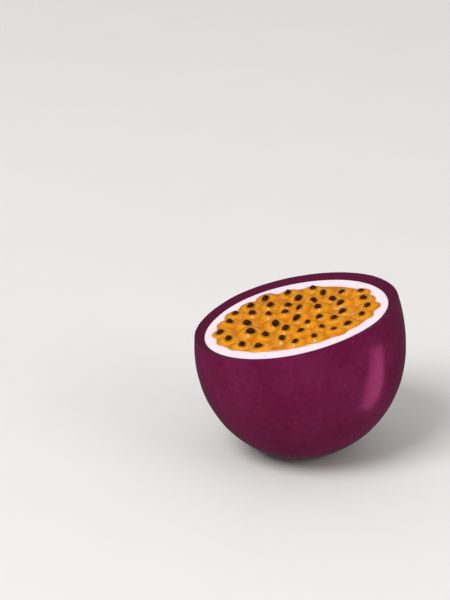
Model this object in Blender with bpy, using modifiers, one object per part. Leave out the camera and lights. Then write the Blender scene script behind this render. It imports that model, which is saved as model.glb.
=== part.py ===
"""Half of a passion fruit, cut on a slant a little above its widest part, resting on its round end.

Two solids: the shell, which is the rind with the pith inside it, and the seedy pulp that fills it.
Both are modelled about the cut's own axis, as parts of a ball, and one function then leans that
axis to the left, stretches the ball into the fruit's oval and stands it on its small flat spot.
"""

import math
import random

import bmesh
import bpy
from mathutils import Matrix, Vector

# Driving dimensions, in metres
FRUIT_WIDTH = 0.052
FRUIT_LENGTH = 0.0566
CUT_ABOVE_MIDDLE = 0.0081
CUT_LEAN = math.radians(11.0)
RIND_THICKNESS = 0.0023
PITH_THICKNESS = 0.0028
LIP_HEIGHT = 0.0009
LIP_ROUNDING = 0.0005
CAVITY_DEPTH_SHARE = 0.93
FLAT_SPOT_RADIUS = 0.0062
PIECE_GAP = 0.0003

# How far the fruit departs from a true oval: fuller shoulders, a narrower lower end, faint lobes
SHOULDER_POWER = 0.2
TAPER_POWER = 0.03
LOBES = ((3, 0.007, 0.6), (5, 0.003, 2.1))

# The pulp: juice sacs that bulge out of the cut, each with a seed in its top
SAC_COUNT = 44
SAC_RADIUS = 0.0035
SAC_HEIGHT = 0.0028
SAC_BULGE = 0.0011
SAC_SIZES = (0.88, 1.12)
SAC_TOPS = (0.8, 1.2)
SAC_STRETCH = 0.12
SAC_LEAN = math.radians(10.0)
SIZE_SLOPE = 0.12
MIDDLE_RISE = 1.12
EDGE_DROP = 0.35
EDGE_FLATNESS = 0.42
SEED_HALF_SIZES = (0.00133, 0.00110, 0.00236)
SEED_SINK = 0.00158
SEED_FACING = 0.32
SEED_INSET = 0.42
SEED_TILT = 0.22

# How the sacs are laid out; the edge values and the scatter are in sac radii
SAC_PACKING = 0.83
SAC_SCATTER = 0.3
EDGE_INSET = 0.54
EDGE_SPREAD = 0.45
SIDE_SPREAD_SHARE = 0.4
SPREAD_RANGE = (-0.5, 1.0)
EDGE_WIDTH = 0.6
EVENING_ROUNDS = 60
EVENING_STEP = 0.25
RANDOM_SEED = 34

# Facets
SHELL_STEPS = 52
CORE_STEPS = 40
WALL_RINGS = 11
SAC_FACETS = (10, 7)
SEED_FACETS = (7, 5)
MERGE_DISTANCE = 0.00001
FLAT_MERGE = 0.0003

BALL_RADIUS = FRUIT_WIDTH / 2
STRETCH = FRUIT_LENGTH / FRUIT_WIDTH
PITH_LEVEL = CUT_ABOVE_MIDDLE - LIP_HEIGHT
RIM_RADIUS = math.sqrt(BALL_RADIUS**2 - CUT_ABOVE_MIDDLE**2)
PITH_OUTER = RIM_RADIUS - RIND_THICKNESS
PITH_INNER = PITH_OUTER - PITH_THICKNESS
CAVITY_RADIUS = math.hypot(PITH_INNER, PITH_LEVEL)


def clear_scene():
    for obj in list(bpy.data.objects):
        bpy.data.objects.remove(obj, do_unlink=True)


def new_collection(name):
    collection = bpy.data.collections.new(name)
    bpy.context.scene.collection.children.link(collection)
    return collection


def make_material(name, color, roughness):
    material = bpy.data.materials.new(name)
    material.use_nodes = True
    shader = material.node_tree.nodes["Principled BSDF"]
    shader.inputs["Base Color"].default_value = (*color, 1.0)
    shader.inputs["Roughness"].default_value = roughness
    return material


def ball_arc(radius, top_level, rings):
    """Points (radius, height) down a ball's side, from a level to its lowest point."""
    top_angle = math.acos(-top_level / radius)
    angles = [top_angle * (rings - i) / rings for i in range(rings + 1)]
    return [(radius * math.sin(a), -radius * math.cos(a)) for a in angles]


def turned_mesh(name, profile, steps):
    """A profile that starts and ends on the axis, or is a closed loop, turned into a solid."""
    mesh = bpy.data.meshes.new(name + "_profile")
    edges = [(i, i + 1) for i in range(len(profile) - 1)]
    if profile[0][0] > 0:
        edges.append((len(profile) - 1, 0))
    mesh.from_pydata([(x, 0.0, z) for x, z in profile], edges, [])
    obj = bpy.data.objects.new(name, mesh)
    bpy.context.scene.collection.objects.link(obj)
    screw = obj.modifiers.new("Turn", "SCREW")
    screw.steps = steps
    screw.render_steps = steps
    screw.use_merge_vertices = True
    screw.merge_threshold = MERGE_DISTANCE
    applied = evaluated_mesh(obj, name)
    bpy.data.objects.remove(obj, do_unlink=True)
    return applied


def evaluated_mesh(obj, name):
    bpy.context.view_layer.update()
    graph = bpy.context.evaluated_depsgraph_get()
    mesh = bpy.data.meshes.new_from_object(obj.evaluated_get(graph))
    mesh.name = name
    return mesh


def new_object(name, mesh, collection):
    obj = bpy.data.objects.new(name, mesh)
    collection.objects.link(obj)
    return obj


def rounded_corner(corner_radius, level, steps=3):
    """The rim's outer corner, from the flat top to the ball's side."""
    centre = (corner_radius - LIP_ROUNDING, level - LIP_ROUNDING)
    turns = [math.radians(90.0) * i / steps for i in range(steps + 1)]
    return [
        (centre[0] + LIP_ROUNDING * math.sin(t), centre[1] + LIP_ROUNDING * math.cos(t))
        for t in turns
    ]


def shell_profile():
    """Up the cavity's wall, across the pith, over the rind's lip and down the outside."""
    cavity = ball_arc(CAVITY_RADIUS, PITH_LEVEL, WALL_RINGS - 2)[::-1]
    pith = [(PITH_OUTER, PITH_LEVEL)]
    lip = rounded_corner(RIM_RADIUS, CUT_ABOVE_MIDDLE)
    outside = ball_arc(BALL_RADIUS, lip[-1][1] - LIP_ROUNDING, WALL_RINGS)
    return cavity + pith + lip + outside


def core_profile():
    """The pulp between and below the sacs: a low mound over a ball-shaped filling."""
    radius = CAVITY_RADIUS - PIECE_GAP
    top_level = PITH_LEVEL - PIECE_GAP
    side = ball_arc(radius, top_level, WALL_RINGS - 3)
    mound = [(0.0, PITH_LEVEL), (side[0][0] / 2, PITH_LEVEL - PIECE_GAP / 2)]
    return mound + side


def clearance_profile():
    """What the sacs keep clear of: the pith's top and the cavity's wall, each with a gap."""
    inner = ball_arc(CAVITY_RADIUS - PIECE_GAP, PITH_LEVEL + PIECE_GAP, WALL_RINGS)[::-1]
    wide = BALL_RADIUS + RIND_THICKNESS
    return inner + [(wide, PITH_LEVEL + PIECE_GAP), (wide, -wide), (0.0, -wide)]


def sac_layout():
    """Each sac as (x, y, size, turn, reach): a jittered sunflower spiral, pushed evenly apart."""
    draw = random.Random(RANDOM_SEED)
    reach = PITH_INNER - EDGE_INSET * SAC_RADIUS
    golden = math.pi * (3 - math.sqrt(5))
    sacs = []
    for i in range(SAC_COUNT):
        r = reach * math.sqrt((i + 0.5) / SAC_COUNT)
        x = r * math.cos(i * golden) + draw.uniform(-SAC_SCATTER, SAC_SCATTER) * SAC_RADIUS
        y = r * math.sin(i * golden) + draw.uniform(-SAC_SCATTER, SAC_SCATTER) * SAC_RADIUS
        size = draw.uniform(*SAC_SIZES)
        turn = draw.uniform(0.0, math.pi)
        share = SIDE_SPREAD_SHARE + (1 - SIDE_SPREAD_SHARE) * abs(math.sin(i * golden))
        spread = draw.uniform(*SPREAD_RANGE) * EDGE_SPREAD * share * SAC_RADIUS
        sacs.append([x, y, size, turn, reach + spread])
    for _ in range(EVENING_ROUNDS):
        push_apart(sacs)
    return sacs


def push_apart(sacs):
    """One step of evening out: close pairs part, and sacs near the edge keep to their own reach."""
    for i, a in enumerate(sacs):
        for b in sacs[:i]:
            away = Vector((a[0] - b[0], a[1] - b[1]))
            wanted = SAC_PACKING * SAC_RADIUS * (sac_size(a) + sac_size(b))
            lack = wanted - away.length
            if lack > 0:
                step = away.normalized() * EVENING_STEP * lack
                a[0], a[1] = a[0] + step.x, a[1] + step.y
                b[0], b[1] = b[0] - step.x, b[1] - step.y
    for sac in sacs:
        r = math.hypot(sac[0], sac[1])
        if r > sac[4] - EDGE_WIDTH * SAC_RADIUS:
            sac[0], sac[1] = sac[0] * sac[4] / r, sac[1] * sac[4] / r


def sac_size(sac):
    """Sacs are larger towards the low side of the cut."""
    return sac[2] * (1 - SIZE_SLOPE * sac[0] / PITH_INNER)


def sac_matrix(sac, draw):
    """Where a unit ball becomes this sac, which is flatter and leans outwards near the edge."""
    size = sac_size(sac)
    outward = Vector((sac[0], sac[1], 0.0))
    share = outward.length / PITH_INNER
    lean_axis = Vector((-outward.y, outward.x, 0.0))
    lean = Matrix.Rotation(SAC_LEAN * share, 4, lean_axis)
    stretch = 1 + draw.uniform(0.0, SAC_STRETCH)
    rise = SAC_BULGE * (MIDDLE_RISE - EDGE_DROP * share**2) * draw.uniform(*SAC_TOPS)
    height = SAC_HEIGHT * size * (1 - EDGE_FLATNESS * share**4)
    centre = Vector((sac[0], sac[1], PITH_LEVEL + rise - height))
    sizes = (SAC_RADIUS * size * stretch, SAC_RADIUS * size / stretch, height)
    return (
        Matrix.Translation(centre)
        @ lean
        @ Matrix.Rotation(sac[3], 4, "Z")
        @ Matrix.Diagonal((*sizes, 1.0))
    )


def seed_matrix(sac, placed, draw):
    """Where a unit ball becomes the seed that stands in a sac, its tip out and facing the front."""
    size = sac_size(sac)
    inward = -SEED_INSET * Vector((sac[0], sac[1])) / PITH_INNER
    facing = Matrix.Rotation(-sac[3], 3, "Z") @ Vector((inward.x, inward.y - SEED_FACING, 1.0))
    tilt = (draw.uniform(-SEED_TILT, SEED_TILT), draw.uniform(-SEED_TILT, SEED_TILT))
    up = facing + Vector((*tilt, 0.0))
    up.normalize()
    top = placed @ up
    outward = (placed.to_3x3().inverted().transposed() @ up).normalized()
    outward = (outward + Vector((0.0, 0.0, 1.0))).normalized()
    turn = outward.to_track_quat("Z", "Y").to_matrix().to_4x4()
    sizes = [half * size for half in SEED_HALF_SIZES]
    return (
        Matrix.Translation(top - outward * SEED_SINK * size)
        @ turn
        @ Matrix.Rotation(draw.uniform(0.0, math.pi), 4, "Z")
        @ Matrix.Diagonal((*sizes, 1.0))
    )


def ball_object(name, facets, matrix, collection):
    form = bmesh.new()
    bmesh.ops.create_uvsphere(form, u_segments=facets[0], v_segments=facets[1], radius=1.0)
    bmesh.ops.transform(form, matrix=matrix, verts=form.verts)
    mesh = bpy.data.meshes.new(name)
    form.to_mesh(mesh)
    form.free()
    return new_object(name, mesh, collection)


def narrow_cavity(mesh):
    """Brings the cavity's wall closer in at the front and at the back."""
    for vertex in mesh.vertices:
        if vertex.co.length < CAVITY_RADIUS + MERGE_DISTANCE:
            vertex.co.y *= CAVITY_DEPTH_SHARE


def settle_in_fruit(mesh):
    """Leans and stretches what was modelled about the cut's axis, and gives it the fruit's form."""
    mesh.transform(Matrix.Diagonal((1.0, 1.0, STRETCH, 1.0)) @ Matrix.Rotation(-CUT_LEAN, 4, "Y"))
    for vertex in mesh.vertices:
        point = vertex.co
        around = math.atan2(point.y, point.x)
        level = max(-0.9995, point.z / (FRUIT_LENGTH / 2))
        width = (1 - level**2) ** (-SHOULDER_POWER if level > 0 else TAPER_POWER)
        width *= 1 + sum(size * math.cos(n * around + shift) for n, size, shift in LOBES)
        vertex.co = (point.x * width, point.y * width, point.z + base_depth())


def base_depth():
    """From the fruit's widest level down to its flat spot."""
    narrow = (FLAT_SPOT_RADIUS / BALL_RADIUS) ** (1 / (0.5 + TAPER_POWER))
    return FRUIT_LENGTH / 2 * math.sqrt(1 - narrow)


def cut_flat_spot(mesh):
    """Slices the round end off at the floor and closes the slice with one flat face."""
    form = bmesh.new()
    form.from_mesh(mesh)
    sliced = bmesh.ops.bisect_plane(
        form,
        geom=form.verts[:] + form.edges[:] + form.faces[:],
        plane_co=(0.0, 0.0, 0.0),
        plane_no=(0.0, 0.0, -1.0),
        clear_outer=True,
    )
    rim = {part for part in sliced["geom_cut"] if isinstance(part, bmesh.types.BMVert)}
    near = {end for vertex in rim for edge in vertex.link_edges for end in edge.verts} - rim
    for vertex in near:
        vertex.co.z = max(vertex.co.z, FLAT_MERGE)
    bmesh.ops.remove_doubles(form, verts=list(rim), dist=FLAT_MERGE)
    edges = [edge for edge in form.edges if edge.is_boundary]
    bmesh.ops.edgeloop_fill(form, edges=edges)
    bmesh.ops.recalc_face_normals(form, faces=form.faces)
    form.to_mesh(mesh)
    form.free()


def make_shell(collection):
    mesh = turned_mesh("shell", shell_profile(), SHELL_STEPS)
    narrow_cavity(mesh)
    settle_in_fruit(mesh)
    cut_flat_spot(mesh)
    shell = new_object("shell", mesh, collection)
    shell.data.materials.append(make_material("purple_rind", (0.125, 0.009, 0.046), 0.4))
    return shell


def make_pulp(collection, cutters):
    """The core, with the sacs and seeds joined on and the pith's clearance cut away."""
    core_mesh = turned_mesh("pulp_core", core_profile(), CORE_STEPS)
    core = new_object("pulp_core", core_mesh, cutters)
    clearance_mesh = turned_mesh("pith_clearance", clearance_profile(), CORE_STEPS)
    clearance = new_object("pith_clearance", clearance_mesh, cutters)
    blobs = new_collection("sacs_and_seeds")
    draw = random.Random(RANDOM_SEED + 1)
    for i, sac in enumerate(sac_layout()):
        placed = sac_matrix(sac, draw)
        ball_object(f"sac_{i}", SAC_FACETS, placed, blobs)
        ball_object(f"seed_{i}", SEED_FACETS, seed_matrix(sac, placed, draw), blobs)
    union = core.modifiers.new("Join", "BOOLEAN")
    union.operation = "UNION"
    union.operand_type = "COLLECTION"
    union.collection = blobs
    cut = core.modifiers.new("Clear", "BOOLEAN")
    cut.operation = "DIFFERENCE"
    cut.object = clearance
    mesh = evaluated_mesh(core, "pulp")
    for helper in [core, clearance, *blobs.objects]:
        bpy.data.objects.remove(helper, do_unlink=True)
    bpy.data.collections.remove(blobs)
    mesh.transform(Matrix.Diagonal((1.0, CAVITY_DEPTH_SHARE, 1.0, 1.0)))
    settle_in_fruit(mesh)
    pulp = new_object("pulp", mesh, collection)
    pulp.data.materials.clear()
    pulp.data.materials.append(make_material("orange_pulp", (0.69, 0.25, 0.011), 0.2))
    return pulp


def main():
    clear_scene()
    fruit = new_collection("passion_fruit_half")
    cutters = new_collection("cutters")
    for piece in (make_shell(fruit), make_pulp(fruit, cutters)):
        piece.data.shade_smooth()
        piece.data.set_sharp_from_angle(angle=math.radians(35.0))
    bpy.data.collections.remove(cutters)


main()
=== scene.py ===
import math
import random

import bmesh
import bpy
import numpy as np
from bpy.props import FloatProperty, FloatVectorProperty, IntProperty, PointerProperty
from bpy.types import Operator, Panel, PropertyGroup
from mathutils import Matrix, Vector, noise


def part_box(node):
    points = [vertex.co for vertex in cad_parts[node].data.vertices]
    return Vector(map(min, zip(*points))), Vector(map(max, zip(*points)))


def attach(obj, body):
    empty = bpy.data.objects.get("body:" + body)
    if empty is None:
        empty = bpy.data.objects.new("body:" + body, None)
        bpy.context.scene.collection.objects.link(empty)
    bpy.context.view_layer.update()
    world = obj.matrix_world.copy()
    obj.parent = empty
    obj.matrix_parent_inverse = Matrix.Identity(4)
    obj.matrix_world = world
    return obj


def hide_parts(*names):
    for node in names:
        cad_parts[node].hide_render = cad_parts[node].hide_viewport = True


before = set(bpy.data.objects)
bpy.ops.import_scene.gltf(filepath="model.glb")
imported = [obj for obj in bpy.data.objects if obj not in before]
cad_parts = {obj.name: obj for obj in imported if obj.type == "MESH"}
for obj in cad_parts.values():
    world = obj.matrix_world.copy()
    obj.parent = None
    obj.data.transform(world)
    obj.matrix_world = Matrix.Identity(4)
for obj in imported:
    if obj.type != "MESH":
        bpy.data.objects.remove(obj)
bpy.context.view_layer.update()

bl_info = {
    "name": "Passion Fruit Half",
    "version": (1, 0, 0),
    "blender": (4, 5, 0),
    "location": "View3D > Sidebar > Passion Fruit",
    "description": "Models the rind, pith, juice sacs and seeds of a passion fruit half",
    "category": "Add Mesh",
}

SHELL_LOW, SHELL_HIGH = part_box("shell")
MILLIMETRE = 0.001

# Height that the camera and the lights face, from the height of the shell
FACED_SHARE = 0.67
FACED_HEIGHT = (SHELL_LOW.z + SHELL_HIGH.z) * FACED_SHARE
PICTURE_WIDTH, PICTURE_HEIGHT = 450, 600

# Points nearer than SNAP are merged, and a point within NEAR of a place counts as being there
SNAP = 0.001 * MILLIMETRE
NEAR = 0.01 * MILLIMETRE
SMOOTH_ANGLE = math.radians(50.0)

# Broad swellings round the fruit: how many, how deep as a share of its width, and their turn
LOBES = ((3, 0.007, 0.6), (5, 0.003, 2.1))
# The rule that fills the fruit out has no value at its poles, so levels stop just short of them
POLE_LEVEL = 0.9995
# Width of the ring of facets round the flat spot
SPOT_INSET = 0.2 * MILLIMETRE

# Scales of the broad and the fine dents in the skin, and how deep the fine ones are beside them
BROAD_DENTS, FINE_DENTS, FINE_DENT_SHARE = 170.0, 420.0, 0.35
# Depths in the rind, in millimetres, over which its outside turns into its cut face
CUT_FACE_DEPTHS = (0.03, 0.20)
# How far the pith reaches into the rind, and how far the pulp reaches into the pith
PITH_OVERLAP = 0.04 * MILLIMETRE
PULP_OVERLAP = 0.08 * MILLIMETRE
PITH_ROUNDING = 0.3 * MILLIMETRE
# Scale and height of the lumps on the pith, and how soon they fade towards the pulp
PITH_LUMPS, LUMP_HEIGHT, LUMP_FADE = 520.0, 0.09 * MILLIMETRE, 1.1

# Ranges of the random draws, as shares of a mean sac
SAC_SCATTER = 0.3
SAC_SIZES = (0.88, 1.12)
SAC_TOPS = (0.8, 1.2)
SPREAD_RANGE = (-0.5, 1.0)
SEED_TILT = 0.22
# How high the sacs bulge in the middle, and how much less at the edge
MIDDLE_RISE, EDGE_DROP = 1.12, 0.35
# How often the sacs are pushed apart, and the share of the lack that each of a pair gives way
EVENING_ROUNDS, EVENING_STEP = 60, 0.25

# Above this height over the pith's face the sacs may lie over the pith
SETTLED_HEIGHT = 0.05 * MILLIMETRE
# Below this depth the pith hides the filling, and facets are merged there until this share of
# all of them is left
HIDDEN_DEPTH, KEPT_FACETS = 2 * MILLIMETRE, 0.55
# How the collar, the halo and the veil round a seed fade, in seed radii
COLLAR_FADE = 0.24
HALO_REACH = (1.2, 2.5)
VEIL_REACH = (1.0, 1.25)
# Width of the painted shade in a fold between two sacs, in sac radii
FOLD_WIDTH = 0.16
# On a unit ball: where the tip of a seed starts, how far it is drawn out, and how far that reaches
TIP_LEVEL, TIP_LENGTH, TIP_REACH = -0.97, 0.12, 0.8


class FruitForm(PropertyGroup):
    """Sizes of the whole fruit and of its cut"""

    width: FloatProperty(
        name="Width", description="Width of the fruit", default=0.052, unit="LENGTH"
    )
    length: FloatProperty(
        name="Length", description="Length of the uncut fruit", default=0.0566, unit="LENGTH"
    )
    cut_height: FloatProperty(
        name="Cut Height",
        description="Distance of the cut from the fruit's middle",
        default=0.0081,
        unit="LENGTH",
    )
    cut_lean: FloatProperty(
        name="Cut Lean",
        description="How far the cut leans to the left, before the fruit's stretch",
        default=math.radians(11.0),
        subtype="ANGLE",
    )
    rind: FloatProperty(
        name="Rind", description="Width of the rind at the cut", default=0.0023, unit="LENGTH"
    )
    pith: FloatProperty(
        name="Pith", description="Width of the pith at the cut", default=0.0028, unit="LENGTH"
    )
    lip: FloatProperty(
        name="Lip",
        description="How far the rind's edge stands above the pith",
        default=0.0009,
        unit="LENGTH",
    )
    rounding: FloatProperty(
        name="Rounding",
        description="Rounding of the rind's outer edge",
        default=0.0005,
        unit="LENGTH",
    )
    cavity_depth: FloatProperty(
        name="Cavity Depth",
        description="Size of the cavity from front to back, as a share of its width",
        default=0.93,
    )
    flat_spot: FloatProperty(
        name="Flat Spot",
        description="Radius of the flat spot that the fruit stands on",
        default=0.0062,
        unit="LENGTH",
    )
    shoulder: FloatProperty(
        name="Shoulder", description="How much fuller than an oval the top is", default=0.2
    )
    taper: FloatProperty(
        name="Taper", description="How much narrower than an oval the lower end is", default=0.03
    )
    unevenness: FloatProperty(
        name="Unevenness",
        description="Depth of the broad dents in the skin",
        default=0.00010,
        unit="LENGTH",
    )

    @property
    def ball(self):
        """Radius of the ball that the fruit is modelled as before its stretch"""
        return self.width / 2

    @property
    def stretch(self):
        return self.length / self.width

    @property
    def pith_level(self):
        return self.cut_height - self.lip

    @property
    def rim(self):
        """Outer radius of the rind at the cut"""
        return math.sqrt(self.ball**2 - self.cut_height**2)

    @property
    def pith_outer(self):
        return self.rim - self.rind

    @property
    def pith_inner(self):
        return self.pith_outer - self.pith

    @property
    def rind_lining(self):
        """Radius of the ball between rind and pith"""
        return math.hypot(self.pith_outer, self.pith_level)

    @property
    def cavity(self):
        """Radius of the ball that the pulp fills"""
        return math.hypot(self.pith_inner, self.pith_level)

    @property
    def base_depth(self):
        """From the fruit's widest level down to its flat spot"""
        narrow = (self.flat_spot / self.ball) ** (1 / (0.5 + self.taper))
        return self.length / 2 * math.sqrt(1 - narrow)


class PulpForm(PropertyGroup):
    """Sizes of the juice sacs and of the seeds in them"""

    sac_count: IntProperty(
        name="Sacs", description="Number of juice sacs at the cut", default=44, min=1
    )
    sac_radius: FloatProperty(
        name="Sac Radius", description="Mean radius of a sac", default=0.0035, unit="LENGTH"
    )
    sac_height: FloatProperty(
        name="Sac Height", description="Half the height of a sac", default=0.0028, unit="LENGTH"
    )
    sac_bulge: FloatProperty(
        name="Sac Bulge",
        description="How far the sacs stand above the pith",
        default=0.0011,
        unit="LENGTH",
    )
    sac_packing: FloatProperty(
        name="Packing", description="Spacing of the sacs, as a share of their width", default=0.83
    )
    sac_stretch: FloatProperty(
        name="Sac Stretch", description="Greatest stretch of a sac to an oval", default=0.12
    )
    sac_lean: FloatProperty(
        name="Sac Lean",
        description="Outward lean of the outermost sacs",
        default=math.radians(10.0),
        subtype="ANGLE",
    )
    edge_inset: FloatProperty(
        name="Edge Inset",
        description="Distance of the outermost sacs from the pith, in sac radii",
        default=0.54,
    )
    edge_spread: FloatProperty(
        name="Edge Spread",
        description="How much that distance varies, in sac radii",
        default=0.45,
    )
    side_spread: FloatProperty(
        name="Side Spread", description="Share of that spread at the left and right", default=0.4
    )
    edge_flatness: FloatProperty(
        name="Edge Flatness", description="How much lower the outermost sacs are", default=0.42
    )
    edge_width: FloatProperty(
        name="Edge Width",
        description="How near the edge a sac counts as outermost, in sac radii",
        default=0.6,
    )
    size_slope: FloatProperty(
        name="Size Slope", description="Growth of the sacs towards the low side", default=0.12
    )
    seed_size: FloatVectorProperty(
        name="Seed Size",
        description="Half the length, width and thickness of a seed",
        default=(0.00133, 0.00110, 0.00236),
        subtype="XYZ",
        unit="LENGTH",
    )
    seed_sink: FloatProperty(
        name="Seed Sink",
        description="Depth of a seed's middle below its sac's skin",
        default=0.00158,
        unit="LENGTH",
    )
    seed_facing: FloatProperty(
        name="Seed Facing",
        description="How far the seeds sit towards the front of their sacs",
        default=0.32,
    )
    seed_inset: FloatProperty(
        name="Seed Inset",
        description="How far the outermost seeds sit towards the middle of the pulp",
        default=0.42,
    )
    collar: FloatProperty(
        name="Collar",
        description="Height of the skin that climbs round a seed",
        default=0.00028,
        unit="LENGTH",
    )
    scatter: IntProperty(name="Scatter", description="Start of the random draws", default=34)
    fineness: FloatProperty(
        name="Fineness",
        description="Size of the smallest facet on the sacs",
        default=0.00022,
        unit="LENGTH",
    )


def colour_property(name, description, default):
    return FloatVectorProperty(
        name=name, description=description, default=default, size=3, min=0.0, subtype="COLOR"
    )


class FruitColours(PropertyGroup):
    """Colours of the fruit's surfaces"""

    skin: colour_property("Skin", "Ripe purple skin", (0.118, 0.0075, 0.040))
    skin_light: colour_property("Light Skin", "Paler patches of skin", (0.150, 0.0125, 0.058))
    skin_dots: colour_property("Skin Dots", "Fine pale dots in the skin", (0.30, 0.085, 0.14))
    skin_cut: colour_property("Cut Skin", "Purple rind where it is cut", (0.086, 0.0050, 0.029))
    pith: colour_property("Pith", "Pinkish white pith", (0.95, 0.79, 0.885))
    pith_stain: colour_property("Pith Stain", "Pith that juice has reached", (0.86, 0.62, 0.42))
    pith_blush: colour_property("Pith Blush", "Pith next to the rind", (0.72, 0.32, 0.50))
    juice: colour_property("Juice", "Orange juice sacs", (0.65, 0.210, 0.002))
    juice_light: colour_property("Light Juice", "Thin skin round a seed", (0.79, 0.330, 0.012))
    # Painted shade: a darker orange laid into the folds between the sacs, where shade falls
    juice_fold_shade: colour_property("Deep Juice", "Folds between the sacs", (0.58, 0.165, 0.0010))
    juice_veil: colour_property("Veil", "Thin skin over a seed's side", (0.20, 0.036, 0.0010))
    seed: colour_property("Seed", "Dark seed coat", (0.012, 0.0028, 0.0004))
    seed_light: colour_property("Light Seed", "Worn parts of a seed coat", (0.034, 0.0080, 0.0010))
    floor: colour_property("Floor", "Plain pale floor", (0.80, 0.79, 0.78))


class StageForm(PropertyGroup):
    """Where the camera stands and how bright the lights are"""

    elevation: FloatProperty(
        name="Elevation",
        description="Height of the camera above the horizon",
        default=math.radians(23.2),
        subtype="ANGLE",
    )
    distance: FloatProperty(
        name="Distance", description="Camera to fruit", default=0.555, unit="LENGTH"
    )
    lens: FloatProperty(name="Lens", description="Focal length in millimetres", default=135.0)
    target_x: FloatProperty(
        name="Target X", description="Pixel column of the fruit's middle", default=299.5
    )
    target_y: FloatProperty(
        name="Target Y", description="Pixel row of the fruit's middle", default=346.5
    )
    key: FloatProperty(
        name="Key", description="Power of the main light", default=30.0, unit="POWER"
    )
    fill: FloatProperty(
        name="Fill", description="Power of the fill light", default=7.0, unit="POWER"
    )
    strip: FloatProperty(
        name="Strip", description="Power of the tall strip light", default=0.0023, unit="POWER"
    )
    glints: FloatProperty(
        name="Glints",
        description="Power of the light behind, which the wet sacs reflect",
        default=2.0,
        unit="POWER",
    )
    surround: FloatProperty(
        name="Surround", description="Brightness of the pale surroundings overhead", default=0.60
    )
    horizon: FloatProperty(
        name="Horizon", description="Brightness of the surroundings at the horizon", default=0.25
    )
    gloss_share: FloatProperty(
        name="Gloss Share",
        description="Brightness of the surroundings as glossy surfaces reflect them, as a share",
        default=0.3,
    )


def read_points(mesh):
    points = np.empty(len(mesh.vertices) * 3)
    mesh.vertices.foreach_get("co", points)
    return points.reshape(-1, 3)


def write_points(mesh, points):
    mesh.vertices.foreach_set("co", points.ravel())
    mesh.update()


def write_attribute(mesh, name, values):
    """Stores one number for each vertex, for the material to read."""
    attribute = mesh.attributes.new(name, "FLOAT", "POINT")
    attribute.data.foreach_set("value", np.asarray(values, dtype=np.float32))


def smooth_step(low, high, values):
    share = np.clip((values - low) / (high - low), 0.0, 1.0)
    return share * share * (3 - 2 * share)


def deselect_everything():
    bpy.ops.object.select_all(action="DESELECT")


def select_only(obj):
    deselect_everything()
    obj.select_set(True)
    bpy.context.view_layer.objects.active = obj


def apply_modifier(obj, name, kind, **settings):
    """Adds a modifier, gives it its settings and applies it."""
    modifier = obj.modifiers.new(name, kind)
    for setting, value in settings.items():
        setattr(modifier, setting, value)
    select_only(obj)
    bpy.ops.object.modifier_apply(modifier=modifier.name)


def pick_vertices(wanted):
    """In edit mode, selects the vertices whose place passes a test."""
    mesh = bpy.context.edit_object.data
    bpy.ops.mesh.select_mode(type="VERT")
    form = bmesh.from_edit_mesh(mesh)
    for vertex in form.verts:
        vertex.select_set(wanted(vertex.co))
    form.select_flush(True)
    form.select_flush(False)
    bmesh.update_edit_mesh(mesh)


def cut_away(place, outward, fill=False):
    """In edit mode, cuts the selected part of a mesh at a plane and drops what is beyond it."""
    bpy.ops.mesh.bisect(
        plane_co=place, plane_no=outward, clear_outer=True, use_fill=fill, threshold=SNAP
    )


def add_arc(radius, level, facets):
    """In edit mode, adds the +X half of a circle in the XZ plane, up to a level."""
    bpy.ops.mesh.primitive_circle_add(
        vertices=facets, radius=radius, rotation=(math.radians(90.0), 0.0, 0.0)
    )
    cut_away((0.0, 0.0, 0.0), (-1.0, 0.0, 0.0))
    pick_vertices(lambda place: abs(place.length - radius) < NEAR)
    cut_away((0.0, 0.0, level), (0.0, 0.0, 1.0))


def turn_wall(name, outer, inner, facets, top_cuts, corners, steps):
    """Turns two arcs, joined across their top ends, into a closed bowl.

    outer and inner are each (radius, level); corners are (which arc, rounding) pairs.
    """
    deselect_everything()
    bpy.ops.mesh.primitive_circle_add(vertices=3, radius=outer[0])
    obj = bpy.context.object
    obj.name = name
    bpy.ops.object.mode_set(mode="EDIT")
    bpy.ops.mesh.delete(type="VERT")
    for radius, level in (outer, inner):
        add_arc(radius, level, facets)
    ends = [Vector((math.sqrt(r * r - level * level), 0.0, level)) for r, level in (outer, inner)]
    pick_vertices(lambda place: any((place - end).length < NEAR for end in ends))
    bpy.ops.mesh.edge_face_add()
    bpy.ops.mesh.subdivide(number_cuts=top_cuts)
    for which, rounding in corners:
        pick_vertices(lambda place: (place - ends[which]).length < NEAR)
        bpy.ops.mesh.bevel(offset=rounding, segments=4, affect="VERTICES")
    bpy.ops.mesh.select_all(action="SELECT")
    bpy.ops.mesh.spin(
        steps=steps, angle=math.radians(360.0), center=(0.0, 0.0, 0.0), axis=(0.0, 0.0, 1.0)
    )
    bpy.ops.mesh.select_all(action="SELECT")
    bpy.ops.mesh.remove_doubles(threshold=SNAP)
    bpy.ops.mesh.normals_make_consistent(inside=False)
    bpy.ops.object.mode_set(mode="OBJECT")
    return obj


def narrow_cavity(obj, share):
    """Brings the cavity's wall and what fills it closer in at the front and at the back."""
    points = read_points(obj.data)
    points[:, 1] *= 1 - (1 - bpy.context.scene.fruit_form.cavity_depth) * share
    write_points(obj.data, points)


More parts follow.
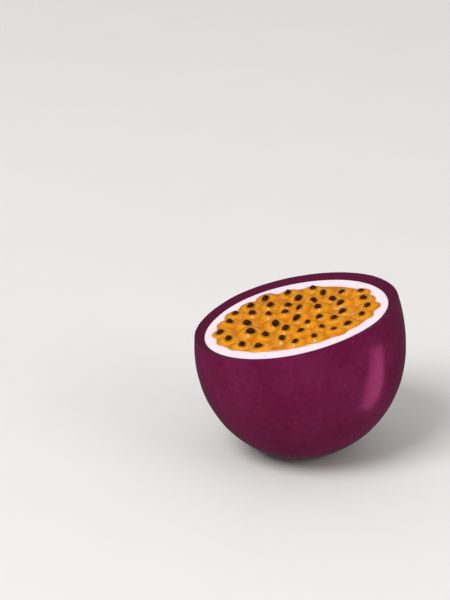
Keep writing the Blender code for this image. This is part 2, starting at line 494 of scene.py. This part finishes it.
def settle_in_fruit(obj):
    """Leans, stretches and fills out a piece modelled about the cut's axis, and stands it up."""
    form = bpy.context.scene.fruit_form
    select_only(obj)
    obj.rotation_euler.y = -form.cut_lean
    bpy.ops.object.transform_apply(location=False, rotation=True, scale=False)
    obj.scale.z = form.stretch
    bpy.ops.object.transform_apply(location=False, rotation=False, scale=True)
    points = read_points(obj.data)
    level = np.clip(points[:, 2] / (form.length / 2), -POLE_LEVEL, POLE_LEVEL)
    power = np.where(level > 0, -form.shoulder, form.taper)
    around = np.arctan2(points[:, 1], points[:, 0])
    width = (1 - level**2) ** power
    width *= 1 + sum(size * np.cos(n * around + shift) for n, size, shift in LOBES)
    points[:, :2] *= width[:, None]
    points[:, 2] += form.base_depth
    write_points(obj.data, points)


def stand_on_flat_spot(obj):
    """Slices the round end off at the floor and closes it with a flat face."""
    select_only(obj)
    bpy.ops.object.mode_set(mode="EDIT")
    bpy.ops.mesh.select_all(action="SELECT")
    cut_away((0.0, 0.0, 0.0), (0.0, 0.0, -1.0), fill=True)
    bpy.ops.mesh.select_mode(type="FACE")
    bpy.ops.mesh.inset(thickness=SPOT_INSET)
    bpy.ops.object.mode_set(mode="OBJECT")


def finish_piece(obj, material, slot, *nodes):
    obj.data.materials.clear()
    obj.data.materials.append(material)
    select_only(obj)
    bpy.ops.object.shade_smooth_by_angle(angle=SMOOTH_ANGLE)
    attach(obj, "root")
    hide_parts(*nodes)


def add_node(tree, kind, inputs=None, **settings):
    """Adds a shader node; inputs maps a socket's name or number to a value or an output."""
    made = tree.nodes.new("ShaderNode" + kind)
    for name, value in settings.items():
        setattr(made, name, value)
    for name, value in (inputs or {}).items():
        if isinstance(value, bpy.types.NodeSocket):
            tree.links.new(value, made.inputs[name])
        else:
            made.inputs[name].default_value = value
    return made


def calculate(tree, operation, first, second=0.0):
    return add_node(tree, "Math", {0: first, 1: second}, operation=operation).outputs[0]


def mix_colours(tree, share, first, second, blend="MIX"):
    node = add_node(tree, "Mix", {0: share}, data_type="RGBA", blend_type=blend)
    for number, colour in ((6, first), (7, second)):
        if isinstance(colour, bpy.types.NodeSocket):
            tree.links.new(colour, node.inputs[number])
        else:
            node.inputs[number].default_value = (*colour, 1.0)
    return node.outputs[2]


def map_values(tree, value, low=0.0, high=1.0, to_low=0.0, to_high=1.0):
    """Turns the range from low to high smoothly into the range from to_low to to_high."""
    given = {"Value": value, "From Min": low, "From Max": high}
    wanted = {"To Min": to_low, "To Max": to_high}
    settings = {"interpolation_type": "SMOOTHSTEP"}
    return add_node(tree, "MapRange", {**given, **wanted}, **settings).outputs[0]


def read_attribute(tree, name):
    return add_node(tree, "Attribute", attribute_name=name).outputs["Fac"]


def new_group(name, inputs, outputs):
    """A shader node group with named sockets, given as (name, kind, default) and (name, kind)."""
    tree = bpy.data.node_groups.new(name, "ShaderNodeTree")
    for socket_name, kind, default in inputs:
        socket = tree.interface.new_socket(
            name=socket_name, in_out="INPUT", socket_type="NodeSocket" + kind
        )
        if default is not None:
            socket.default_value = default
    for socket_name, kind in outputs:
        tree.interface.new_socket(
            name=socket_name, in_out="OUTPUT", socket_type="NodeSocket" + kind
        )
    return tree, tree.nodes.new("NodeGroupInput"), tree.nodes.new("NodeGroupOutput")


def mottling_group():
    """Broad and fine blotches, as a mask from 0 to 1."""
    name = "Mottling"
    if name in bpy.data.node_groups:
        return bpy.data.node_groups[name]
    tree, given, result = new_group(
        name,
        (
            ("Vector", "Vector", None),
            ("Broad Scale", "Float", 120.0),
            ("Fine Scale", "Float", 900.0),
            ("Fine Share", "Float", 0.4),
        ),
        (("Mask", "Float"),),
    )
    broad = add_node(
        tree,
        "TexNoise",
        {"Vector": given.outputs["Vector"], "Scale": given.outputs["Broad Scale"], "Detail": 3.0},
    )
    fine = add_node(
        tree,
        "TexNoise",
        {"Vector": given.outputs["Vector"], "Scale": given.outputs["Fine Scale"], "Detail": 2.0},
    )
    mixed = add_node(
        tree,
        "Mix",
        {0: given.outputs["Fine Share"], 2: broad.outputs[0], 3: fine.outputs[0]},
        data_type="FLOAT",
    )
    mask = map_values(tree, mixed.outputs[0], low=0.3, high=0.7)
    tree.links.new(mask, result.inputs["Mask"])
    return tree


def relief_group():
    """Height of a grained surface with small pits in it."""
    name = "Grain and Pits"
    if name in bpy.data.node_groups:
        return bpy.data.node_groups[name]
    tree, given, result = new_group(
        name,
        (
            ("Vector", "Vector", None),
            ("Grain Scale", "Float", 1500.0),
            ("Pit Scale", "Float", 900.0),
            ("Pit Share", "Float", 0.5),
        ),
        (("Height", "Float"), ("Pits", "Float")),
    )
    vector = given.outputs["Vector"]
    grain = add_node(
        tree,
        "TexNoise",
        {"Vector": vector, "Scale": given.outputs["Grain Scale"], "Detail": 4.0},
    )
    cells = add_node(
        tree,
        "TexVoronoi",
        {"Vector": vector, "Scale": given.outputs["Pit Scale"]},
        feature="F1",
    )
    pits = map_values(tree, cells.outputs["Distance"], low=0.15, high=0.45)
    mixed = add_node(
        tree,
        "Mix",
        {0: given.outputs["Pit Share"], 2: grain.outputs[0], 3: pits},
        data_type="FLOAT",
    )
    tree.links.new(mixed.outputs[0], result.inputs["Height"])
    tree.links.new(pits, result.inputs["Pits"])
    return tree


def new_material(name, fixed):
    """A material, its shader with the values that are the same all over, and the object's space."""
    material = bpy.data.materials.new(name)
    material.use_nodes = True
    tree = material.node_tree
    tree.nodes.clear()
    shader = add_node(tree, "BsdfPrincipled", fixed)
    add_node(tree, "OutputMaterial", {"Surface": shader.outputs[0]})
    place = add_node(tree, "TexCoord").outputs["Object"]
    return material, tree, shader, place


def add_mottling(tree, place, broad_scale, fine_scale):
    """The mask of the blotches, at two scales."""
    inputs = {"Vector": place, "Broad Scale": broad_scale, "Fine Scale": fine_scale}
    return add_node(tree, "Group", inputs, node_tree=mottling_group()).outputs["Mask"]


def add_relief(tree, shader, place, grain_scale, pit_scale, pit_share, depth):
    """Gives the shader a relief of grain and pits, and returns the mask of the pits."""
    scales = {"Grain Scale": grain_scale, "Pit Scale": pit_scale, "Pit Share": pit_share}
    relief = add_node(tree, "Group", {"Vector": place, **scales}, node_tree=relief_group())
    bump = add_node(
        tree, "Bump", {"Height": relief.outputs["Height"], "Distance": depth, "Strength": 1.0}
    )
    tree.links.new(bump.outputs[0], shader.inputs["Normal"])
    return relief.outputs["Pits"]


def rind_material():
    colours = bpy.context.scene.fruit_colours
    material, tree, shader, place = new_material(
        "purple_rind", {"Specular Tint": (1.0, 0.40, 0.68, 1.0), "Specular IOR Level": 0.08}
    )
    mask = add_mottling(tree, place, broad_scale=95.0, fine_scale=700.0)
    skin = mix_colours(tree, mask, colours.skin, colours.skin_light)
    cells = add_node(tree, "TexVoronoi", {"Vector": place, "Scale": 420.0}, feature="F1")
    from_dot = cells.outputs["Distance"]
    dots = map_values(tree, from_dot, low=0.06, high=0.13, to_low=0.16, to_high=0.0)
    skin = mix_colours(tree, dots, skin, colours.skin_dots)
    cut = read_attribute(tree, "cut_face")
    skin = mix_colours(tree, cut, skin, colours.skin_cut)
    tree.links.new(skin, shader.inputs["Base Color"])
    roughness = map_values(tree, mask, to_low=0.18, to_high=0.24)
    added_by_cut = 0.45
    matt = calculate(tree, "MULTIPLY", cut, added_by_cut)
    tree.links.new(calculate(tree, "ADD", roughness, matt), shader.inputs["Roughness"])
    add_relief(
        tree,
        shader,
        place,
        grain_scale=900.0,
        pit_scale=1300.0,
        pit_share=0.35,
        depth=0.018 * MILLIMETRE,
    )
    return material


def pith_material():
    colours = bpy.context.scene.fruit_colours
    material, tree, shader, place = new_material(
        "white_pith",
        {
            "Roughness": 0.62,
            "Subsurface Weight": 0.25,
            "Subsurface Radius": (1.0, 0.7, 0.8),
            "Subsurface Scale": 0.6 * MILLIMETRE,
        },
    )
    mask = add_mottling(tree, place, broad_scale=260.0, fine_scale=2200.0)
    inward = read_attribute(tree, "inward")
    unevenness = 0.25
    stain_edge = calculate(tree, "ADD", inward, calculate(tree, "MULTIPLY", mask, unevenness))
    stain = map_values(tree, stain_edge, low=0.80, high=1.20, to_low=0.0, to_high=0.55)
    blush_edge = calculate(tree, "ADD", inward, mask)
    blush = map_values(tree, blush_edge, low=0.0, high=0.42, to_low=0.45, to_high=0.0)
    colour = mix_colours(tree, stain, colours.pith, colours.pith_stain)
    colour = mix_colours(tree, blush, colour, colours.pith_blush)
    shade = map_values(tree, mask, to_low=0.93, to_high=1.0)
    colour = mix_colours(tree, 1.0, colour, shade, "MULTIPLY")
    tree.links.new(colour, shader.inputs["Base Color"])
    add_relief(
        tree,
        shader,
        place,
        grain_scale=2600.0,
        pit_scale=2400.0,
        pit_share=0.6,
        depth=0.07 * MILLIMETRE,
    )
    return material


def juice_material():
    colours = bpy.context.scene.fruit_colours
    material, tree, shader, place = new_material(
        "orange_juice_sacs",
        {
            "IOR": 1.34,
            "Specular IOR Level": 0.4,
            "Subsurface Weight": 0.5,
            "Subsurface Radius": (1.0, 0.45, 0.10),
            "Subsurface Scale": 1.2 * MILLIMETRE,
        },
    )
    mask = add_mottling(tree, place, broad_scale=450.0, fine_scale=1800.0)
    halo_share, fold_shade_share, veil_share = 0.9, 0.6, 0.62
    halo = calculate(tree, "MULTIPLY", read_attribute(tree, "halo"), halo_share)
    fold = calculate(tree, "MULTIPLY", read_attribute(tree, "fold"), fold_shade_share)
    veil = calculate(tree, "MULTIPLY", read_attribute(tree, "veil"), veil_share)
    colour = mix_colours(tree, halo, colours.juice, colours.juice_light)
    # Painted shade: the fold mask darkens the orange in the creases between the sacs
    colour = mix_colours(tree, fold, colour, colours.juice_fold_shade)
    shade = map_values(tree, mask, to_low=0.88, to_high=1.06)
    colour = mix_colours(tree, 1.0, colour, shade, "MULTIPLY")
    colour = mix_colours(tree, veil, colour, colours.juice_veil)
    tree.links.new(colour, shader.inputs["Base Color"])
    roughness = map_values(tree, mask, to_low=0.07, to_high=0.13)
    tree.links.new(roughness, shader.inputs["Roughness"])
    add_relief(
        tree,
        shader,
        place,
        grain_scale=700.0,
        pit_scale=500.0,
        pit_share=0.1,
        depth=0.05 * MILLIMETRE,
    )
    return material


def seed_material():
    colours = bpy.context.scene.fruit_colours
    material, tree, shader, place = new_material(
        "dark_seed_coat",
        {
            "Roughness": 0.3,
            "IOR": 1.38,
            "Specular IOR Level": 0.4,
            "Specular Tint": (1.0, 0.58, 0.30, 1.0),
        },
    )
    pits = add_relief(
        tree,
        shader,
        place,
        grain_scale=3000.0,
        pit_scale=2600.0,
        pit_share=0.7,
        depth=0.05 * MILLIMETRE,
    )
    worn = map_values(tree, pits, low=0.3, high=1.0, to_low=0.0, to_high=0.6)
    colour = mix_colours(tree, worn, colours.seed, colours.seed_light)
    tree.links.new(colour, shader.inputs["Base Color"])
    return material


def floor_material():
    colours = bpy.context.scene.fruit_colours
    material, tree, shader, place = new_material(
        "pale_floor", {"Roughness": 0.7, "Specular IOR Level": 0.2}
    )
    mask = add_mottling(tree, place, broad_scale=3.0, fine_scale=40.0)
    shade = map_values(tree, mask, to_low=0.985, to_high=1.0)
    colour = mix_colours(tree, 1.0, colours.floor, shade, "MULTIPLY")
    tree.links.new(colour, shader.inputs["Base Color"])
    return material


def sac_size(sac):
    """Sacs are larger towards the low side of the cut."""
    scene = bpy.context.scene
    return sac[2] * (1 - scene.pulp_form.size_slope * sac[0] / scene.fruit_form.pith_inner)


def push_apart(sacs):
    """One step of evening out: close pairs part, and sacs near the edge keep to their own reach."""
    pulp = bpy.context.scene.pulp_form
    for i, a in enumerate(sacs):
        for b in sacs[:i]:
            away = Vector((a[0] - b[0], a[1] - b[1]))
            wanted = pulp.sac_packing * pulp.sac_radius * (sac_size(a) + sac_size(b))
            lack = wanted - away.length
            if lack > 0:
                step = away.normalized() * EVENING_STEP * lack
                a[0], a[1] = a[0] + step.x, a[1] + step.y
                b[0], b[1] = b[0] - step.x, b[1] - step.y
    for sac in sacs:
        r = math.hypot(sac[0], sac[1])
        if r > sac[4] - pulp.edge_width * pulp.sac_radius:
            sac[0], sac[1] = sac[0] * sac[4] / r, sac[1] * sac[4] / r


def sac_layout():
    """Each sac as (x, y, size, turn, reach): a jittered sunflower spiral, pushed evenly apart."""
    form, pulp = bpy.context.scene.fruit_form, bpy.context.scene.pulp_form
    draw = random.Random(pulp.scatter)
    reach = form.pith_inner - pulp.edge_inset * pulp.sac_radius
    golden = math.pi * (3 - math.sqrt(5))
    sacs = []
    for i in range(pulp.sac_count):
        r = reach * math.sqrt((i + 0.5) / pulp.sac_count)
        x = r * math.cos(i * golden) + draw.uniform(-SAC_SCATTER, SAC_SCATTER) * pulp.sac_radius
        y = r * math.sin(i * golden) + draw.uniform(-SAC_SCATTER, SAC_SCATTER) * pulp.sac_radius
        size = draw.uniform(*SAC_SIZES)
        turn = draw.uniform(0.0, math.pi)
        share = pulp.side_spread + (1 - pulp.side_spread) * abs(math.sin(i * golden))
        spread = draw.uniform(*SPREAD_RANGE) * pulp.edge_spread * share * pulp.sac_radius
        sacs.append([x, y, size, turn, reach + spread])
    for _ in range(EVENING_ROUNDS):
        push_apart(sacs)
    return sacs


def sac_place(sac, draw):
    """Where a unit ball becomes this sac, which is flatter and leans outwards near the edge."""
    form, pulp = bpy.context.scene.fruit_form, bpy.context.scene.pulp_form
    size = sac_size(sac)
    outward = Vector((sac[0], sac[1], 0.0))
    share = outward.length / form.pith_inner
    lean = Matrix.Rotation(pulp.sac_lean * share, 4, Vector((-outward.y, outward.x, 0.0)))
    stretch = 1 + draw.uniform(0.0, pulp.sac_stretch)
    rise = MIDDLE_RISE - EDGE_DROP * share**2
    top = form.pith_level + pulp.sac_bulge * rise * draw.uniform(*SAC_TOPS)
    height = pulp.sac_height * size * (1 - pulp.edge_flatness * share**4)
    centre = Vector((sac[0], sac[1], top - height))
    radius = pulp.sac_radius * size
    sizes = (radius * stretch, radius / stretch, height)
    return (
        Matrix.Translation(centre)
        @ lean
        @ Matrix.Rotation(sac[3], 4, "Z")
        @ Matrix.Diagonal((*sizes, 1.0))
    )


def seed_place(sac, placed, draw):
    """Where a unit ball becomes the seed that stands in a sac, its tip out and facing the front."""
    form, pulp = bpy.context.scene.fruit_form, bpy.context.scene.pulp_form
    size = sac_size(sac)
    inward = -pulp.seed_inset * Vector((sac[0], sac[1])) / form.pith_inner
    facing = Matrix.Rotation(-sac[3], 3, "Z") @ Vector((inward.x, inward.y - pulp.seed_facing, 1.0))
    tilt = Vector((draw.uniform(-SEED_TILT, SEED_TILT), draw.uniform(-SEED_TILT, SEED_TILT), 0.0))
    up = (facing + tilt).normalized()
    top = placed @ up
    outward = (placed.to_3x3().inverted().transposed() @ up).normalized()
    outward = (outward + Vector((0.0, 0.0, 1.0))).normalized()
    turn = outward.to_track_quat("Z", "Y").to_matrix().to_4x4()
    sizes = [half * size for half in pulp.seed_size]
    return (
        Matrix.Translation(top - outward * pulp.seed_sink * size)
        @ turn
        @ Matrix.Rotation(draw.uniform(0.0, math.pi), 4, "Z")
        @ Matrix.Diagonal((*sizes, 1.0))
    )


def pulp_places():
    """The places of all sacs and of all seeds."""
    draw = random.Random(bpy.context.scene.pulp_form.scatter + 1)
    sacs, seeds = [], []
    for sac in sac_layout():
        sacs.append(sac_place(sac, draw))
        seeds.append(seed_place(sac, sacs[-1], draw))
    return sacs, seeds


def unit_distances(points, places):
    """How far each point is from each placed unit ball's centre, in that ball's own radii."""
    columns = []
    for place in places:
        inverse = np.array(place.inverted())
        local = points @ inverse[:3, :3].T + inverse[:3, 3]
        columns.append(np.linalg.norm(local, axis=1))
    return np.stack(columns, axis=1)


def join_copies(master, places):
    """Copies a modelled piece to each place, each copy with its own mesh, and joins them to it."""
    copies = []
    for place in places[1:]:
        copy = master.copy()
        copy.data = master.data.copy()
        copy.data.transform(place)
        bpy.context.collection.objects.link(copy)
        copies.append(copy)
    master.data.transform(places[0])
    select_only(master)
    for copy in copies:
        copy.select_set(True)
    bpy.ops.object.join()
    return master


class FRUIT_OT_set_camera(Operator):
    """Puts the camera at the photograph's viewing angle"""

    bl_idname = "fruit.set_camera"
    bl_label = "Set Camera"

    def execute(self, context):
        stage = context.scene.stage_form
        target = Vector((0.0, 0.0, FACED_HEIGHT))
        back = Vector((0.0, -math.cos(stage.elevation), math.sin(stage.elevation)))
        deselect_everything()
        bpy.ops.object.camera_add(location=target + back * stage.distance)
        camera = context.object
        camera.data.lens = stage.lens
        camera.data.clip_start = 0.01
        pixel = camera.data.sensor_width / PICTURE_HEIGHT
        right = (stage.target_x - PICTURE_WIDTH / 2) * pixel
        up = (PICTURE_HEIGHT / 2 - stage.target_y) * pixel
        aside = Vector((right, up, -stage.lens)).rotation_difference(Vector((0.0, 0.0, -1.0)))
        camera.rotation_mode = "QUATERNION"
        camera.rotation_quaternion = (-back).to_track_quat("-Z", "Y") @ aside
        context.scene.camera = camera
        return {"FINISHED"}


class FRUIT_OT_add_rind(Operator):
    """Models the purple rind: a thin bowl with a rounded lip round the cut"""

    bl_idname = "fruit.add_rind"
    bl_label = "Add Rind"

    def execute(self, context):
        form = context.scene.fruit_form
        rind = turn_wall(
            "rind",
            outer=(form.ball, form.cut_height),
            inner=(form.rind_lining, form.pith_level),
            facets=150,
            top_cuts=5,
            corners=((0, form.rounding),),
            steps=180,
        )
        points = read_points(rind.data)
        length = np.linalg.norm(points, axis=1)
        outside = smooth_step(form.rind_lining, form.ball, length)
        depth = (form.ball - length) / MILLIMETRE
        write_attribute(rind.data, "cut_face", smooth_step(*CUT_FACE_DEPTHS, depth))
        settle_in_fruit(rind)
        points = read_points(rind.data)
        for i, place in enumerate(points):
            if outside[i] > 0:
                broad = noise.noise(Vector(place) * BROAD_DENTS)
                fine = noise.noise(Vector(place) * FINE_DENTS)
                dent = form.unevenness * outside[i] * (broad + FINE_DENT_SHARE * fine)
                points[i, :2] *= 1 + dent / form.ball
        write_points(rind.data, points)
        stand_on_flat_spot(rind)
        finish_piece(rind, rind_material(), "rind", "shell")
        return {"FINISHED"}


class FRUIT_OT_add_pith(Operator):
    """Models the white pith that lines the rind"""

    bl_idname = "fruit.add_pith"
    bl_label = "Add Pith"

    def execute(self, context):
        form = context.scene.fruit_form
        level = form.pith_level - PITH_OVERLAP
        pith = turn_wall(
            "pith",
            outer=(form.rind_lining + PITH_OVERLAP, level),
            inner=(form.cavity, level),
            facets=150,
            top_cuts=14,
            corners=((1, PITH_ROUNDING),),
            steps=240,
        )
        points = read_points(pith.data)
        radius = np.hypot(points[:, 0], points[:, 1])
        inward = np.clip((form.pith_outer - radius) / form.pith, 0.0, 1.0)
        on_top = smooth_step(form.pith_level - MILLIMETRE, form.pith_level, points[:, 2])
        for i in np.nonzero(on_top)[0]:
            lump = noise.noise(Vector(points[i]) * PITH_LUMPS)
            share = on_top[i] * math.sin(math.pi * min(1.0, LUMP_FADE * inward[i]))
            points[i, 2] += LUMP_HEIGHT * share * lump
        write_points(pith.data, points)
        write_attribute(pith.data, "inward", inward)
        length = np.linalg.norm(points, axis=1)
        narrow_cavity(pith, smooth_step(form.rind_lining, form.cavity, length))
        settle_in_fruit(pith)
        finish_piece(pith, pith_material(), "pith", "shell")
        return {"FINISHED"}


class FRUIT_OT_add_juice_sacs(Operator):
    """Models the pulp: bulging juice sacs grown together over a ball-shaped filling"""

    bl_idname = "fruit.add_juice_sacs"
    bl_label = "Add Juice Sacs"

    def execute(self, context):
        form, pulp = context.scene.fruit_form, context.scene.pulp_form
        sacs, seeds = pulp_places()
        deselect_everything()
        bpy.ops.mesh.primitive_ico_sphere_add(subdivisions=4, radius=1.0)
        heap = join_copies(context.object, sacs)
        heap.name = "juice_sacs"
        self.add_filling(form)
        apply_modifier(heap, "Grow Together", "REMESH", mode="VOXEL", voxel_size=pulp.fineness)
        self.fit_in_cavity(heap, form)
        apply_modifier(heap, "Soften", "SMOOTH", factor=0.5, iterations=3)
        self.thin_out_underside(heap, form)
        self.shape_skin(heap, sacs, seeds)
        narrow_cavity(heap, 1.0)
        settle_in_fruit(heap)
        finish_piece(heap, juice_material(), "pulp", "pulp")
        return {"FINISHED"}

    def add_filling(self, form):
        """In edit mode, adds the ball-shaped filling below the sacs."""
        bpy.ops.object.mode_set(mode="EDIT")
        bpy.ops.mesh.primitive_uv_sphere_add(
            segments=96, ring_count=64, radius=form.cavity + PULP_OVERLAP
        )
        cut_away((0.0, 0.0, form.pith_level), (0.0, 0.0, 1.0), fill=True)
        bpy.ops.object.mode_set(mode="OBJECT")

    def fit_in_cavity(self, heap, form):
        """Presses the outermost sacs back from the pith's wall and lets them lie over its top."""
        points = read_points(heap.data)
        reach = form.cavity + PULP_OVERLAP
        length = np.linalg.norm(points, axis=1)
        buried = (points[:, 2] < form.pith_level + SETTLED_HEIGHT) & (length > reach)
        points[buried] *= (reach / length[buried])[:, None]
        write_points(heap.data, points)

    def thin_out_underside(self, heap, form):
        """Gives the filling larger facets where the pith hides it."""
        points = read_points(heap.data)
        hidden = np.nonzero(points[:, 2] < form.pith_level - HIDDEN_DEPTH)[0]
        underside = heap.vertex_groups.new(name="underside")
        underside.add(hidden.tolist(), 1.0, "REPLACE")
        apply_modifier(
            heap, "Thin Out", "DECIMATE", ratio=KEPT_FACETS, vertex_group=underside.name
        )
        heap.vertex_groups.clear()

    def shape_skin(self, heap, sacs, seeds):
        """Raises a collar round each seed, and stores what the material needs."""
        pulp = bpy.context.scene.pulp_form
        points = read_points(heap.data)
        from_seed = unit_distances(points, seeds).min(axis=1)
        from_sacs = np.sort(unit_distances(points, sacs), axis=1)
        collar = np.exp(-np.maximum(from_seed - 1.0, 0.0) / COLLAR_FADE)
        points[:, 2] += pulp.collar * collar
        write_points(heap.data, points)
        write_attribute(heap.data, "halo", 1 - smooth_step(*HALO_REACH, from_seed))
        write_attribute(heap.data, "veil", 1 - smooth_step(*VEIL_REACH, from_seed))
        # The fold mask marks where painted shade darkens the juice between two sacs
        between = from_sacs[:, 1] - from_sacs[:, 0]
        write_attribute(heap.data, "fold", 1 - smooth_step(0.0, FOLD_WIDTH, between))


class FRUIT_OT_add_seeds(Operator):
    """Models one pitted, pointed seed and sets a copy into the top of every sac"""

    bl_idname = "fruit.add_seeds"
    bl_label = "Add Seeds"

    def execute(self, context):
        deselect_everything()
        bpy.ops.mesh.primitive_uv_sphere_add(segments=28, ring_count=18, radius=1.0)
        seed = context.object
        seed.name = "seeds"
        bpy.ops.object.mode_set(mode="EDIT")
        pick_vertices(lambda place: place.z < TIP_LEVEL)
        bpy.ops.transform.translate(
            value=(0.0, 0.0, -TIP_LENGTH),
            use_proportional_edit=True,
            proportional_edit_falloff="SHARP",
            proportional_size=TIP_REACH,
        )
        bpy.ops.object.mode_set(mode="OBJECT")
        join_copies(seed, pulp_places()[1])
        narrow_cavity(seed, 1.0)
        settle_in_fruit(seed)
        finish_piece(seed, seed_material(), "seed", "pulp")
        return {"FINISHED"}


class FRUIT_OT_set_stage(Operator):
    """Adds the floor, the pale surroundings and the studio lights"""

    bl_idname = "fruit.set_stage"
    bl_label = "Set Stage"

    def execute(self, context):
        stage = context.scene.stage_form
        deselect_everything()
        bpy.ops.mesh.primitive_plane_add(size=6.0)
        floor = context.object
        floor.name = "floor"
        floor.data.materials.append(floor_material())
        floor.visible_glossy = False
        self.add_light("key_light", place=(-0.90, -1.00, 1.60), size=(1.0, 1.0), power=stage.key)
        self.add_light("fill_light", place=(1.30, -0.90, 0.70), size=(1.0, 1.0), power=stage.fill)
        glints = self.add_light(
            "glint_light", place=(-0.25, 0.90, 0.75), size=(0.30, 0.30), power=stage.glints
        )
        glints.visible_diffuse = False
        self.add_strip(stage)
        context.scene.world = self.make_surroundings(stage)
        context.scene.view_settings.view_transform = "Standard"
        return {"FINISHED"}

    def add_strip(self, stage):
        """Adds the tall strip beside the fruit, which nothing but the rind's gloss shows."""
        strip = self.add_light(
            "strip_light", place=(0.0350, -0.0190, 0.0176), size=(0.010, 0.029), power=stage.strip
        )
        upward = Vector((0.34, -0.03, 0.94)).normalized()
        backward = Vector((0.10, 0.99, 0.0)).cross(upward).normalized()
        sideward = upward.cross(backward)
        strip.rotation_euler = Matrix((sideward, upward, backward)).transposed().to_euler()
        strip.visible_diffuse = False
        strip.data.color = (1.0, 0.24, 0.58)
        strip.data.spread = math.radians(80.0)
        lit = bpy.data.collections.new("lit_by_strip")
        lit.objects.link(bpy.data.objects["rind"])
        strip.light_linking.receiver_collection = lit

    def make_surroundings(self, stage):
        """Pale surroundings that darken towards the horizon, and are dimmer in reflections."""
        world = bpy.data.worlds.new("pale_surroundings")
        world.use_nodes = True
        tree = world.node_tree
        background = tree.nodes["Background"]
        background.inputs["Color"].default_value = (1.0, 1.0, 1.0, 1.0)
        direction = add_node(tree, "TexCoord").outputs["Generated"]
        height = add_node(tree, "SeparateXYZ", {0: direction}).outputs["Z"]
        glow = map_values(tree, height, high=0.9, to_low=stage.horizon, to_high=stage.surround)
        in_gloss = add_node(tree, "LightPath").outputs["Is Glossy Ray"]
        dimming = map_values(tree, in_gloss, to_low=1.0, to_high=stage.gloss_share)
        glow = calculate(tree, "MULTIPLY", glow, dimming)
        tree.links.new(glow, background.inputs["Strength"])
        return world

    def add_light(self, name, place, size, power):
        """Adds an oblong area light that faces the fruit and isn't seen itself."""
        deselect_everything()
        bpy.ops.object.light_add(type="AREA", location=place)
        light = bpy.context.object
        light.name = name
        light.data.shape = "RECTANGLE"
        light.data.size, light.data.size_y = size
        light.data.energy = power
        light.visible_camera = False
        towards = Vector((0.0, 0.0, FACED_HEIGHT)) - Vector(place)
        light.rotation_euler = towards.to_track_quat("-Z", "Y").to_euler()
        return light


class FRUIT_PT_sidebar(Panel):
    """Lists the pieces of the fruit and the sizes and colours behind them"""

    bl_label = "Passion Fruit Half"
    bl_idname = "FRUIT_PT_sidebar"
    bl_space_type = "VIEW_3D"
    bl_region_type = "UI"
    bl_category = "Passion Fruit"

    def draw(self, context):
        for operator in OPERATORS:
            self.layout.operator(operator.bl_idname)
        for group in SETTINGS:
            box = self.layout.box()
            settings = getattr(context.scene, group)
            for name in settings.__annotations__:
                box.prop(settings, name)


OPERATORS = (
    FRUIT_OT_set_camera,
    FRUIT_OT_add_rind,
    FRUIT_OT_add_pith,
    FRUIT_OT_add_juice_sacs,
    FRUIT_OT_add_seeds,
    FRUIT_OT_set_stage,
)
SETTINGS = {
    "fruit_form": FruitForm,
    "pulp_form": PulpForm,
    "fruit_colours": FruitColours,
    "stage_form": StageForm,
}


def register():
    for kind in (*SETTINGS.values(), *OPERATORS, FRUIT_PT_sidebar):
        bpy.utils.register_class(kind)
    for name, kind in SETTINGS.items():
        setattr(bpy.types.Scene, name, PointerProperty(type=kind))


def unregister():
    for name in SETTINGS:
        delattr(bpy.types.Scene, name)
    for kind in (FRUIT_PT_sidebar, *reversed(OPERATORS), *SETTINGS.values()):
        bpy.utils.unregister_class(kind)


def main():
    register()
    bpy.ops.fruit.set_camera()
    bpy.ops.fruit.add_rind()
    bpy.ops.fruit.add_pith()
    bpy.ops.fruit.add_juice_sacs()
    bpy.ops.fruit.add_seeds()
    bpy.ops.fruit.set_stage()


if __name__ == "__main__":
    main()
